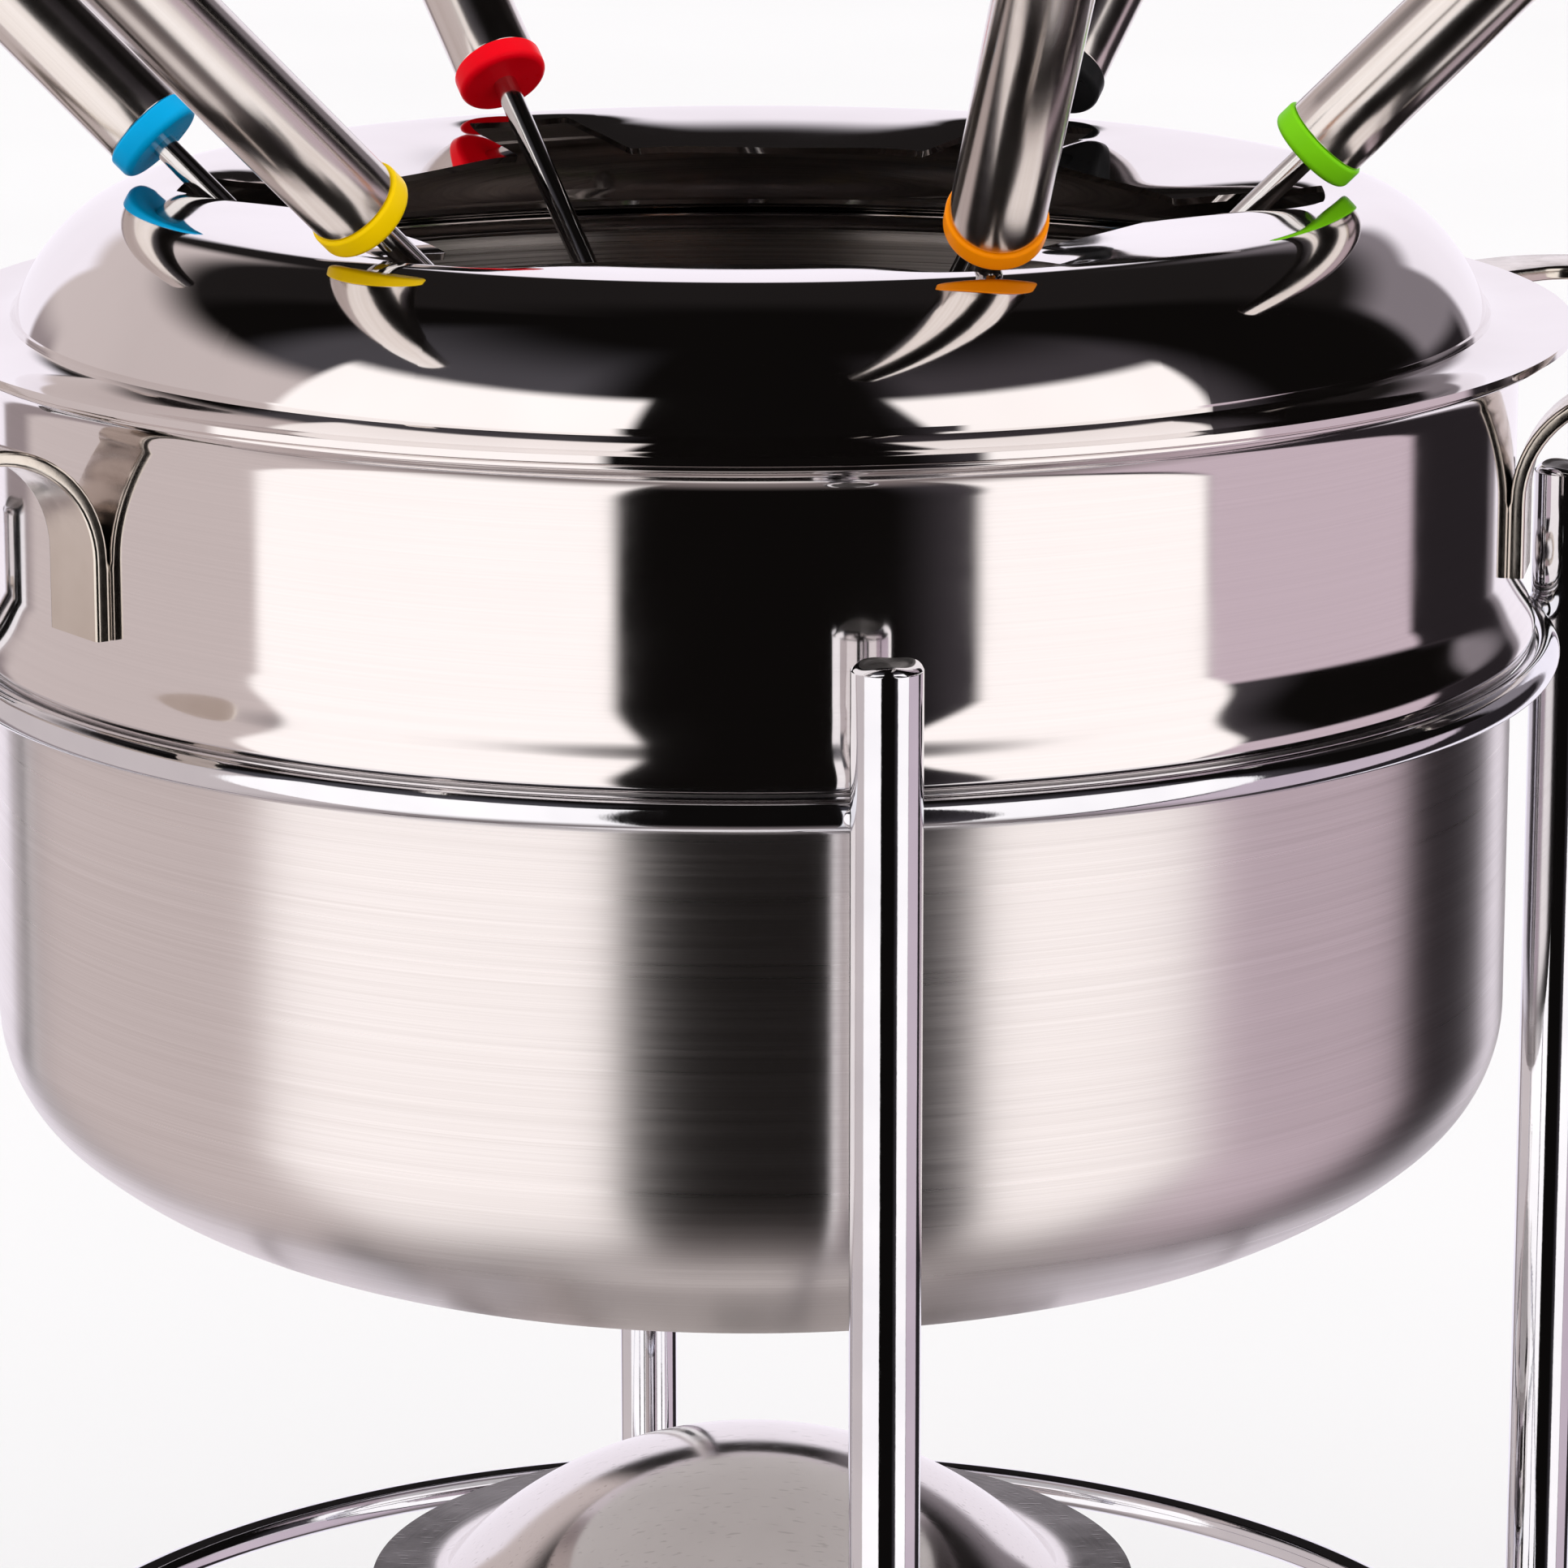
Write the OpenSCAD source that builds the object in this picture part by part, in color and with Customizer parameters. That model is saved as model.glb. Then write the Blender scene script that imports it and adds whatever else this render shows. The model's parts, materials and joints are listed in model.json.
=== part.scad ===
// Fondue set: a wire stand, a steel pot with a fork guard, six forks and a spirit burner.
// The origin is on the table under the middle of the pot, and +Z is up. All sizes are in millimetres.

/* [Stand] */
// Height of the four upright rods
leg_l = 200; // [195:1:204]
// Diameter of an upright rod
leg_d = 7.8; // [6:0.2:8]
// Centreline radius of both rings
ring_r = 94.2; // [94:0.1:94.4]
// Diameter of the ring wire
ring_wire = 4; // [3.8:0.1:4]
// Height of the upper ring, which carries the pot
upper_ring_z = 182; // [180:1:190]
// Height of the lower ring, which carries the burner
lower_ring_z = 44; // [42:1:50]
// How far the first rod is turned from the front
first_leg_angle = 8.2; // [0:0.2:12]
// Centreline radius of the burner ring
holder_r = 43; // [43:0.5:44]

/* [Pot] */
// Outer radius of the pot wall
pot_r = 90.5; // [90:0.1:90.6]
// Depth of the pot below the upper ring
pot_below = 68.5; // [62:0.5:72]
// Height of the pot's lip above the upper ring
pot_above = 38; // [37:0.5:44]
// Thickness of all the pressed sheet
sheet = 0.8; // [0.6:0.1:1]
// Radius of the rolled bead that rests on the ring
bead_r = 3.2; // [3:0.1:3.2]
// Height of the slope from the bead to the wall above it
bead_slope = 7; // [5:0.5:9]

/* [Pot handles] */
// Width of the handle strap
strap_w = 10.6; // [8:0.2:12]
// Thickness of the handle strap
strap_t = 1.8; // [1.2:0.1:2.2]
// Angle between an arm of a handle and the middle of its grip
strap_spread = 23; // [18:1:25]
// Reach of a handle from the pot's axis
strap_reach = 131; // [125:1:140]
// Turn of the handle pair from the X axis
strap_turn = 12; // [8:1:20]

/* [Fork guard] */
// Radius of the guard's brim
brim_r = 97; // [96:0.1:98]
// Radius of the guard's crest
crest_r = 71.5; // [70:0.5:73]
// Height of the crest above the pot's lip
crest_rise = 15.7; // [13:0.1:17]
// Distance from the axis to the middle of each straight edge between two fork places
petal_r = 47; // [46:0.5:50]
// Radius of the opening at a fork place
notch_r = 67.5; // [66:0.5:68]
// Turn of the six fork places
notch_turn = -4; // [-5:0.5:-3]

/* [Forks] */
// Diameter of the handle tube
handle_d = 10.6; // [10:0.1:11]
// Length of the handle tube
handle_l = 92; // [80:1:110]
// Diameter of the coloured collar
collar_d = 11.4; // [11.2:0.1:11.6]
// Thickness of the visible collar
collar_l = 3; // [2:0.5:4]
// Diameter of the shaft
shaft_d = 3; // [2.6:0.1:3.2]
// Length from the collar to the tips of the tines
shaft_l = 158; // [145:1:162]
// Width across the two tines
tine_w = 7.2; // [6:0.1:7.4]

/* [Burner] */
// Outer radius of the burner cup
cup_r = 40.4; // [40:0.1:40.6]
// Depth of the cup below its flange
cup_depth = 32; // [26:1:34]
// Radius of the burner cover's wall
cover_r = 37.6; // [37:0.1:37.8]
// Height of the burner cover
cover_h = 15.2; // [14:0.2:16]
// Radius of the snuffer dome's flange
dome_flange_r = 47; // [46:0.5:52]
// Rise of the snuffer dome above its flange
dome_rise = 17; // [15:0.5:19]
// Angle that one vent takes
vent_angle = 20; // [14:1:20]

/* [Hidden] */
// Colour, place round the pot, tilt from upright, sideways lean and radius of the collar of each fork
FORKS = [
    ["green", -3, 45, -13, 65.5],
    ["black", 56, 49, 3, 68.5],
    ["red", 117, 46, 3, 68.5],
    ["blue", 177, 48, -16, 69.5],
    ["yellow", 233, 48, -11, 69.5],
    ["orange", 292.5, 47, -15.5, 69]
];
SIDES = ["right", "rear", "left", "front"];

// Facets of a large round surface, and of a small one
round_fn = 128;
small_fn = 48;
// How far one welded rod sinks into the other
weld = 0.2;
// Gap between two pieces that rest on each other
rest_gap = 0.1;
// Gap between two pieces that slide past each other
slide_gap = 0.3;
lip_z = upper_ring_z + pot_above;
leg_circle_r = ring_r + ring_wire / 2 + leg_d / 2 - weld;
leg_angles = [for (i = [0:3]) first_leg_angle + 90 * i];
foot_cap_h = 12;
foot_cap_wall = 1.2;
foot_floor = 2;

// The middle of the pot's bead, so that it just rests on the upper ring
bead_c = [pot_r - 0.5, upper_ring_z
    + sqrt(pow(bead_r + ring_wire / 2 + rest_gap, 2) - pow(ring_r - pot_r + 0.5, 2))];
// Radii of the pot's corner: a tight one at the wall, then a wide one to the flat bottom
corner_r = 18;
corner_turn = 48;
base_blend_r = 48;
lip_flare_r = 4;
lip_edge_r = 95.3;

crest_z = lip_z + crest_rise;
// Half the angle that a fork place takes at its round end, and the angle of the slope beside it
notch_half = 5.5;
notch_slope = 3.5;
// Length of the collar's plug inside the handle tube
plug_l = 9;
cup_top_z = lower_ring_z + ring_wire / 2 + rest_gap;
cover_z = cup_top_z + sheet;
// Depth of the gauze in the cup
gauze_depth = 8;
cover_top_z = cover_z + cover_h;
dome_z = cover_top_z + rest_gap;
regulator_z = cover_z + sheet + slide_gap;
regulator_h = cover_h - 2 * sheet - 2 * slide_gap;
// The cover's brim, its flame opening and the height of the wall under and over its vents
cover_brim_r = cover_r + 4.4;
flame_r = 20;
vent_sill = 4;
regulator_angle = 235;
snuffer_angle = 212;

// Points on a round stretch from angle a0 to a1 about c
function arc(c, r, a0, a1, n = 12) =
    [for (i = [0:n]) let (a = a0 + (a1 - a0) * i / n) c + r * [cos(a), sin(a)]];
// Points on a curve that leaves p0 towards p1 and comes into p3 from p2
function curve(p0, p1, p2, p3, n = 14) =
    [for (i = [0:n]) let (t = i / n, u = 1 - t)
        u * u * u * p0 + 3 * u * u * t * p1 + 3 * u * t * t * p2 + t * t * t * p3];
// A path without points that repeat the one before
function tidy(path) =
    [for (i = [0:len(path) - 1]) if (i == 0 || norm(path[i] - path[max(i - 1, 0)]) > 0.01) path[i]];
// The normal on the left of a path at point i
function left_of(path, i) =
    let (a = path[max(i - 1, 0)], b = path[min(i + 1, len(path) - 1)], d = (b - a) / norm(b - a))
        [-d[1], d[0]];
// The same path moved to its left by t
function beside(path, t) = [for (i = [0:len(path) - 1]) path[i] + t * left_of(path, i)];
// Reversed list
function back(path) = [for (i = [len(path) - 1:-1:0]) path[i]];
// The closed outline of a sheet of thickness t that lies on the left of a path
function sheet_outline(path, t) = concat(path, back(beside(path, t)));
// Points below the axis, pulled back onto it
function on_axis(path) = [for (p = path) [max(p[0], 0), p[1]]];

// A round shell from the path of its outer face
module shell(path, t = sheet) {
    rotate_extrude($fn = round_fn)
        polygon(on_axis(sheet_outline(tidy(path), t)));
}

// ---- Stand ----

module ring(r, z) {
    color("silver")
        translate([0, 0, z])
            rotate_extrude($fn = round_fn)
                translate([r, 0])
                    circle(d = ring_wire, $fn = small_fn);
}

module leg(i) {
    color("silver")
        rotate(leg_angles[i])
            translate([leg_circle_r, 0, foot_floor])
                cylinder(d = leg_d, h = leg_l - foot_floor, $fn = small_fn);
}

module foot_cap(i) {
    color("dimgray")
        rotate(leg_angles[i])
            translate([leg_circle_r, 0, 0])
                difference() {
                    cylinder(d = leg_d + 2 * foot_cap_wall, h = foot_cap_h, $fn = small_fn);
                    translate([0, 0, foot_floor])
                        cylinder(d = leg_d, h = foot_cap_h, $fn = small_fn);
                }
}

// A rod from the burner ring to the lower ring
module spoke(i) {
    spoke_from = holder_r + ring_wire / 2 - weld;
    spoke_to = ring_r - ring_wire / 2 + weld;
    color("silver")
        rotate(leg_angles[i])
            translate([spoke_from, 0, lower_ring_z])
                rotate([0, 90, 0])
                    cylinder(d = ring_wire - 0.4, h = spoke_to - spoke_from, $fn = small_fn);
}

// ---- Pot ----

module pot_shell() {
    base_z = upper_ring_z - pot_below;
    tight_c = [pot_r - corner_r, base_z + base_blend_r
        - (base_blend_r - corner_r) * sin(corner_turn)];
    wide_c = tight_c + (corner_r - base_blend_r) * [cos(corner_turn), -sin(corner_turn)];
    bead_meet = acos((pot_r - bead_c[0]) / bead_r);
    bead_top_angle = 15;
    slope_from = bead_c + bead_r * [cos(bead_top_angle), sin(bead_top_angle)];
    slope_to = [pot_r, slope_from[1] + bead_slope];
    color("lightgray")
        shell(concat(
            [[0, base_z]],
            arc(wide_c, base_blend_r, -90, -corner_turn),
            arc(tight_c, corner_r, -corner_turn, 0),
            arc(bead_c, bead_r, -bead_meet, bead_top_angle),
            curve(slope_from, slope_from + 2 * [-sin(bead_top_angle), cos(bead_top_angle)],
                slope_to - [0, 3], slope_to),
            arc([pot_r + lip_flare_r, lip_z - lip_flare_r - sheet], lip_flare_r, 180, 90),
            [[lip_edge_r, lip_z - sheet]]
        ));
}

// A flat strap, bent up from its spot-welded feet into a level loop whose arms stand out radially
module pot_handle(turn) {
    bend_r = 12;
    top_z = lip_z - 6;
    foot_h = 9;
    bend_c_z = top_z - bend_r;
    color("tan")
        rotate(turn)
            difference() {
                union() {
                    for (side = [-1, 1])
                        rotate(side * strap_spread) {
                            translate([pot_r - 1, -strap_w / 2, bend_c_z - foot_h])
                                cube([1 + strap_t, strap_w, foot_h]);
                            translate([pot_r + strap_t + bend_r, strap_w / 2, bend_c_z])
                                rotate([90, 0, 0])
                                    strap_bend(bend_r, strap_w);
                        }
                    translate([0, 0, top_z])
                        linear_extrude(height = strap_t)
                            strap_loop(pot_r + strap_t + bend_r);
                }
                translate([0, 0, top_z - 60])
                    cylinder(r = pot_r, h = 80, $fn = round_fn);
            }
}

// A quarter bend from upright to level, seen from the side
module strap_bend(r, w) {
    linear_extrude(height = w)
        polygon(concat(arc([0, 0], r, 90, 180), arc([0, 0], r + strap_t, 180, 90)));
}

// The level part of a handle in plan: an arm, a rounded corner, the grip and back again
module strap_loop(arm_from) {
    plan_r = 16;
    mid_r = plan_r - strap_w / 2;
    corner_x = strap_reach - plan_r;
    corner_y = (corner_x * sin(strap_spread) - mid_r) / cos(strap_spread);
    half = concat(
        [arm_from * [cos(strap_spread), sin(strap_spread)]],
        arc([corner_x, corner_y], mid_r, 90 + strap_spread, 0)
    );
    loop = concat(half, [for (p = back(half)) [p[0], -p[1]]]);
    polygon(concat(beside(loop, strap_w / 2), back(beside(loop, -strap_w / 2))));
}

// ---- Fork guard ----

// 0 up to 0, 1 from 1 on, and a smooth step between
function ease(x) = let (t = min(max(x, 0), 1)) t * t * (3 - 2 * t);
// Radius of the opening at an angle off the nearest fork place, which is a rounded slot
// in a corner of a hexagon
function opening_r(off) =
    notch_r + (petal_r / cos(30 - off) - notch_r) * ease((off - notch_half) / notch_slope);

module fork_guard() {
    foot = [crest_r + 14.7, lip_z + 1];
    crest_under = [crest_r, crest_z - sheet];
    petal_under = [petal_r - 2, crest_under[1] - 2.2];
    notch_stops = concat([0, 3], [for (i = [0:5]) notch_half + notch_slope * i / 5]);
    color("gainsboro")
        difference() {
            shell(concat(
                curve([brim_r, lip_z + 0.3], [brim_r - 3.5, lip_z], foot + [3.4, -1.7], foot),
                curve(foot, foot + [-1.4, 6], crest_under + [7, 0], crest_under),
                curve(crest_under, crest_under - [8, 0], petal_under + [8, 1.1], petal_under)
            ), -sheet);
            translate([0, 0, lip_z])
                linear_extrude(height = 2 * crest_rise)
                    polygon([
                        for (k = [0:5], i = [-7:7])
                            let (off = notch_stops[abs(i)], a = notch_turn + 60 * k + sign(i) * off)
                                opening_r(off) * [cos(a), sin(a)]
                    ]);
        }
}

// ---- Forks ----

// Puts a fork that stands upright on its collar where fork i rests on the guard
module place_fork(i) {
    tilt = FORKS[i][2];
    hang_z = crest_z + 0.2 + collar_d / 2 * sin(tilt);
    rotate(FORKS[i][1])
        translate([FORKS[i][4], 0, hang_z])
            rotate([0, tilt, FORKS[i][3]])
                children();
}

module fork_handle(i) {
    color("silver")
        place_fork(i)
            translate([0, 0, collar_l])
                difference() {
                    cylinder(d = handle_d, h = handle_l, $fn = small_fn);
                    translate([0, 0, -1])
                        cylinder(d = handle_d - 2 * sheet, h = handle_l + 2, $fn = small_fn);
                }
}

module fork_collar(i) {
    plug_r = handle_d / 2 - sheet;
    color(FORKS[i][0])
        place_fork(i)
            rotate_extrude($fn = small_fn)
                polygon(concat(
                    [[shaft_d / 2, 0]],
                    arc([collar_d / 2 - 0.6, 0.6], 0.6, -90, 0, 6),
                    arc([collar_d / 2 - 0.4, collar_l - 0.4], 0.4, 0, 90, 6),
                    [
                        [plug_r, collar_l],
                        [plug_r, collar_l + plug_l],
                        [shaft_d / 2, collar_l + plug_l]
                    ]
                ));
}

module fork_prongs(i) {
    blade_l = 12;
    tine_l = 26;
    tine_t = 1.6;
    color("lightgray")
        place_fork(i) {
            translate([0, 0, tine_l + blade_l - 4 - shaft_l])
                cylinder(d = shaft_d, h = shaft_l - tine_l - blade_l + 4 + collar_l + plug_l,
                    $fn = small_fn);
            translate([-tine_t / 2, 0, -shaft_l])
                rotate([90, 0, 90])
                    linear_extrude(height = tine_t)
                        fork_head(tine_l, blade_l);
        }
}

// A blade that widens from the shaft and ends in two pointed tines
module fork_head(tine_l, blade_l) {
    half = tine_w / 2;
    tine = 1.9;
    root = tine_l + blade_l;
    polygon(concat(
        [[shaft_d / 2, root], [half, root - blade_l + 3], [half, 0], [half - tine, 3.5]],
        arc([0, tine_l - 2], half - tine, 0, 180, 10),
        [[tine - half, 3.5], [-half, 0], [-half, root - blade_l + 3], [-shaft_d / 2, root]]
    ));
}

module fork_cap(i) {
    cap_r = handle_d / 2;
    color("silver")
        place_fork(i)
            translate([0, 0, collar_l + handle_l])
                rotate_extrude($fn = small_fn)
                    polygon(concat(
                        [[0, -plug_l / 2], [cap_r - sheet, -plug_l / 2], [cap_r - sheet, 0], [cap_r, 0]],
                        arc([cap_r - 2.2, 0], 2.2, 0, 90, 8),
                        [[0, 2.6]]
                    ));
}

// ---- Burner ----

module burner_cup() {
    cup_flange_r = holder_r + 5;
    bottom_z = cup_top_z - cup_depth;
    color("silver")
        shell(concat(
            [[0, bottom_z]],
            arc([cup_r - 7, bottom_z + 7], 7, -90, 0, 8),
            [[cup_r, cup_top_z - 0.01], [cup_flange_r, cup_top_z]]
        ));
}

module fuel_pad() {
    pad_z = cup_top_z - cup_depth + sheet;
    pad_r = cup_r - sheet - 0.2;
    pad_corner_r = 6;
    color("ivory")
        rotate_extrude($fn = round_fn)
            polygon(concat(
                [[0, pad_z]],
                arc([pad_r - pad_corner_r, pad_z + pad_corner_r], pad_corner_r, -90, 0, 8),
                [[pad_r, cup_top_z - gauze_depth + sheet], [0, cup_top_z - gauze_depth + sheet]]
            ));
}

module gauze_disc() {
    color("gray")
        translate([0, 0, cup_top_z - gauze_depth + sheet])
            difference() {
                cylinder(r = cup_r - sheet, h = 0.6, $fn = round_fn);
                for (ring = [1:3], k = [0:6 * ring - 1])
                    rotate(k * 60 / ring)
                        translate([ring * 9, 0, -1])
                            cylinder(d = 3, h = 3, $fn = 16);
            }
}

// The openings in the side of the burner, which the regulator covers and uncovers
module vents(z, h) {
    for (k = [0:7])
        rotate(k * 45)
            translate([0, 0, z])
                linear_extrude(height = h)
                    polygon([
                        [0, 0],
                        60 * [cos(vent_angle / 2), -sin(vent_angle / 2)],
                        60 * [cos(vent_angle / 2), sin(vent_angle / 2)]
                    ]);
}

// A round flange with a short wall, from the outline of its section
module cover_part(outline) {
    color("silver")
        translate([0, 0, cover_z])
            rotate_extrude($fn = round_fn)
                polygon(outline);
}

module cover_base() {
    cover_part([
        [cover_r - sheet, 0],
        [cover_brim_r, 0],
        [cover_brim_r, sheet],
        [cover_r, sheet],
        [cover_r, vent_sill],
        [cover_r - sheet, vent_sill]
    ]);
}

module cover_posts() {
    post_h = cover_h - 2 * vent_sill;
    color("silver")
        difference() {
            translate([0, 0, cover_z + vent_sill])
                cylinder(r = cover_r, h = post_h, $fn = round_fn);
            translate([0, 0, cover_z])
                cylinder(r = cover_r - sheet, h = cover_h, $fn = round_fn);
            vents(cover_z + vent_sill - 1, post_h + 2);
        }
}

module cover_top() {
    cover_part([
        [cover_r - sheet, cover_h - vent_sill],
        [cover_r, cover_h - vent_sill],
        [cover_r, cover_h - sheet],
        [cover_brim_r, cover_h - sheet],
        [cover_brim_r, cover_h],
        [flame_r, cover_h],
        [flame_r, cover_h - sheet],
        [cover_r - sheet, cover_h - sheet]
    ]);
}

module regulator_ring() {
    color("silver")
        difference() {
            translate([0, 0, regulator_z])
                cylinder(r = cover_r + 0.1 + sheet, h = regulator_h, $fn = round_fn);
            translate([0, 0, regulator_z - 1])
                cylinder(r = cover_r + 0.1, h = regulator_h + 2, $fn = round_fn);
            vents(cover_z + vent_sill, cover_h - 2 * vent_sill);
        }
}

// A strap that leaves the burner at a given height, with an upright tab at its root
module strap_arm(from_r, to_r, z, w, tab_h, tab_drop) {
    translate([from_r, -w / 2, z])
        cube([to_r - from_r - w / 2, w, strap_t]);
    translate([to_r - w / 2, 0, z])
        cylinder(d = w, h = strap_t, $fn = small_fn);
    translate([from_r, -w / 2, z - tab_drop])
        cube([strap_t, w, tab_h]);
}

module regulator_handle() {
    ring_out = cover_r + 0.1 + sheet;
    tab_drop = 3;
    color("silver")
        rotate(regulator_angle)
            difference() {
                strap_arm(ring_out - 1, 84, regulator_z + 5, 9, 7, tab_drop);
                translate([0, 0, regulator_z - 1])
                    cylinder(r = ring_out, h = regulator_h + 2, $fn = round_fn);
                translate([78, 0, regulator_z])
                    cylinder(d = 4, h = 20, $fn = small_fn);
            }
}

// Two round-headed rivets through a tab, side by side
module rivet_pair(r, z, spread, shank_l, head_l) {
    for (side = [-1, 1])
        translate([r, side * spread / 2, z])
            rotate([0, 90, 0]) {
                cylinder(d = 1.6, h = shank_l, $fn = small_fn);
                translate([0, 0, shank_l])
                    cylinder(d1 = 2.8, d2 = 1.8, h = head_l, $fn = small_fn);
            }
}

module regulator_rivets() {
    color("gray")
        rotate(regulator_angle)
            rivet_pair(cover_r + 0.5, regulator_z + 3.4, 5, 1.6 + sheet, 0.8);
}

module snuffer_dome() {
    foot_r = cover_r + 0.6;
    dome_r = (foot_r * foot_r + dome_rise * dome_rise) / (2 * dome_rise);
    foot_a = asin(foot_r / dome_r);
    color("silver")
        shell(concat(
            [[dome_flange_r, dome_z], [foot_r + 1.6, dome_z]],
            arc([0, dome_z + dome_rise - dome_r], dome_r, 90 - foot_a, 90, 20)
        ), -sheet);
}

module snuffer_handle() {
    color("silver")
        rotate(snuffer_angle)
            difference() {
                translate([0, 0, dome_z + sheet])
                    union() {
                        translate([dome_flange_r - 6, -6, 0])
                            cube([62 - dome_flange_r, 12, strap_t]);
                        translate([56, -6, strap_t])
                            rotate([0, 6, 0])
                                translate([0, 0, -strap_t])
                                    cube([50, 12, strap_t]);
                    }
                translate([100, 0, 0])
                    cylinder(d = 5, h = 200, $fn = small_fn);
            }
}

module snuffer_rivets() {
    color("gray")
        rotate(snuffer_angle)
            for (side = [-1, 1])
                translate([dome_flange_r - 2.5, side * 3, dome_z - 0.6]) {
                    cylinder(d = 1.8, h = 0.6 + sheet + strap_t, $fn = small_fn);
                    translate([0, 0, 0.6 + sheet + strap_t])
                        cylinder(d1 = 3.2, d2 = 2, h = 0.8, $fn = small_fn);
                }
}

ring(ring_r, upper_ring_z);  // upper_ring
ring(ring_r, lower_ring_z);  // lower_ring
ring(holder_r, lower_ring_z);  // burner_ring
for (i = [0:3]) {
    leg(i);
    foot_cap(i);
    spoke(i);
}
pot_shell();
pot_handle(strap_turn);  // pot_handle_right
pot_handle(strap_turn + 180);  // pot_handle_left
fork_guard();
for (i = [0:5]) {
    fork_handle(i);
    fork_collar(i);
    fork_prongs(i);
    fork_cap(i);
}
burner_cup();
fuel_pad();
gauze_disc();
cover_base();
cover_posts();
cover_top();
regulator_ring();
regulator_handle();
regulator_rivets();
snuffer_dome();
snuffer_handle();
snuffer_rivets();
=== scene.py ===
"""Fondue set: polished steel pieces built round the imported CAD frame. Lengths are in metres."""

import json
import math
import random

import bmesh
import bpy
from mathutils import Matrix, Vector, noise


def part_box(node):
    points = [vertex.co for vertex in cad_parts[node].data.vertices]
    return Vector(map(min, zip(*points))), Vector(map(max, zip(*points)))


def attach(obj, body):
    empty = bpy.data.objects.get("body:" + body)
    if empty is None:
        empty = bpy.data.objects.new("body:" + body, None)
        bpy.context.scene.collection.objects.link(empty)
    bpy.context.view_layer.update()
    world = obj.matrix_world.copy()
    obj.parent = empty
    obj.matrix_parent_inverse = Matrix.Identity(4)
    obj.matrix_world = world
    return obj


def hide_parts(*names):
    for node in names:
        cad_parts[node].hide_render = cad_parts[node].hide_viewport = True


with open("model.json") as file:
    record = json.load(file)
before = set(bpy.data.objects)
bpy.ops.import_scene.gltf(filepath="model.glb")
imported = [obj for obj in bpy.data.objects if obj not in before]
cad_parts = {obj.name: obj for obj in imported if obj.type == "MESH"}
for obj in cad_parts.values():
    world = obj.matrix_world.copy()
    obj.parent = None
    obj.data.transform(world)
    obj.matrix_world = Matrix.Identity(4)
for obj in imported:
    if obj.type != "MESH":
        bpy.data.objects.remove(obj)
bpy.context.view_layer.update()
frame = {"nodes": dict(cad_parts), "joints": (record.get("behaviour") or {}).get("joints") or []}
MM = 0.001
COLOURS = ("green", "black", "red", "blue", "yellow", "orange")
SIDES = ("right", "rear", "left", "front")


# ---- Sizes that the frame gives ----


def middle(node):
    low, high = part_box(node)
    return (low + high) / 2


def radius(node):
    low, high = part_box(node)
    return (high.x - low.x) / 2


UPPER_RING_Z = middle("upper_ring").z
LOWER_RING_Z = middle("lower_ring").z
WIRE_R = (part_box("upper_ring")[1].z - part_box("upper_ring")[0].z) / 2
RING_R = radius("upper_ring") - WIRE_R
HOLDER_R = radius("burner_ring") - WIRE_R
POT_BASE_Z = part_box("pot_shell")[0].z
LIP_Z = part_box("pot_shell")[1].z
LIP_R = radius("pot_shell")
BRIM_R = radius("fork_guard")
LEG_R = radius("leg_front")
DOME_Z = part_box("snuffer_dome")[0].z
DOME_TOP_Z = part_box("snuffer_dome")[1].z
DOME_FLANGE_R = radius("snuffer_dome")
CUP_TOP_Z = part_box("burner_cup")[1].z
CUP_BASE_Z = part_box("burner_cup")[0].z
COVER_Z, COVER_TOP_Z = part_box("cover_base")[0].z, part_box("cover_top")[1].z
COVER_BRIM_R = radius("cover_base")
CUP_FLANGE_R = radius("burner_cup")

# Sizes that the frame's boxes don't show
SHEET = 0.8 * MM
POT_R = 90.5 * MM
CREST_R = 71.5 * MM
CREST_RISE = 15.7 * MM
PETAL_R = 47 * MM
NOTCH_R = 67.5 * MM
NOTCH_TURN = math.radians(-4)
NOTCH_HALF = 5.5
NOTCH_SLOPE = 3.5
NOTCH_DIP = 1.8 * MM
NOTCH_DIP_REACH = 8 * MM
GUARD_FOOT_OUT = 14.7 * MM
GUARD_FOOT_RISE = 1 * MM


# ---- Outlines: lists of (radius, height) ----


def arc(cx, cz, r, a0, a1, n=24):
    """Points on an arc about (cx, cz), angles in degrees."""
    steps = [math.radians(a0 + (a1 - a0) * i / n) for i in range(n + 1)]
    return [(cx + r * math.cos(a), cz + r * math.sin(a)) for a in steps]


def curve(p0, p1, p2, p3, n=32):
    """Points on a curve that leaves p0 towards p1 and comes into p3 from p2."""
    points = []
    for i in range(n + 1):
        t = i / n
        u = 1 - t
        weights = (u * u * u, 3 * u * u * t, 3 * u * t * t, t * t * t)
        points.append(tuple(
            sum(w * p[k] for w, p in zip(weights, (p0, p1, p2, p3))) for k in (0, 1)
        ))
    return points


def tidy(path, least=1e-5):
    """The path without points that repeat the one before."""
    kept = [path[0]]
    for p in path[1:]:
        if math.dist(p, kept[-1]) > least:
            kept.append(p)
    return kept


def beside(path, t):
    """The path moved to its left by t."""
    moved = []
    for i, p in enumerate(path):
        a, b = path[max(i - 1, 0)], path[min(i + 1, len(path) - 1)]
        length = math.dist(a, b)
        moved.append((p[0] - t * (b[1] - a[1]) / length, p[1] + t * (b[0] - a[0]) / length))
    return moved


def sheet_outline(path, t=SHEET):
    """The closed outline of a sheet on the left of a path, with rounded ends."""
    path = tidy(path)
    other = beside(path, t)
    return path + round_end(path[-1], other[-1]) + other[::-1] + round_end(other[0], path[0])


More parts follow.
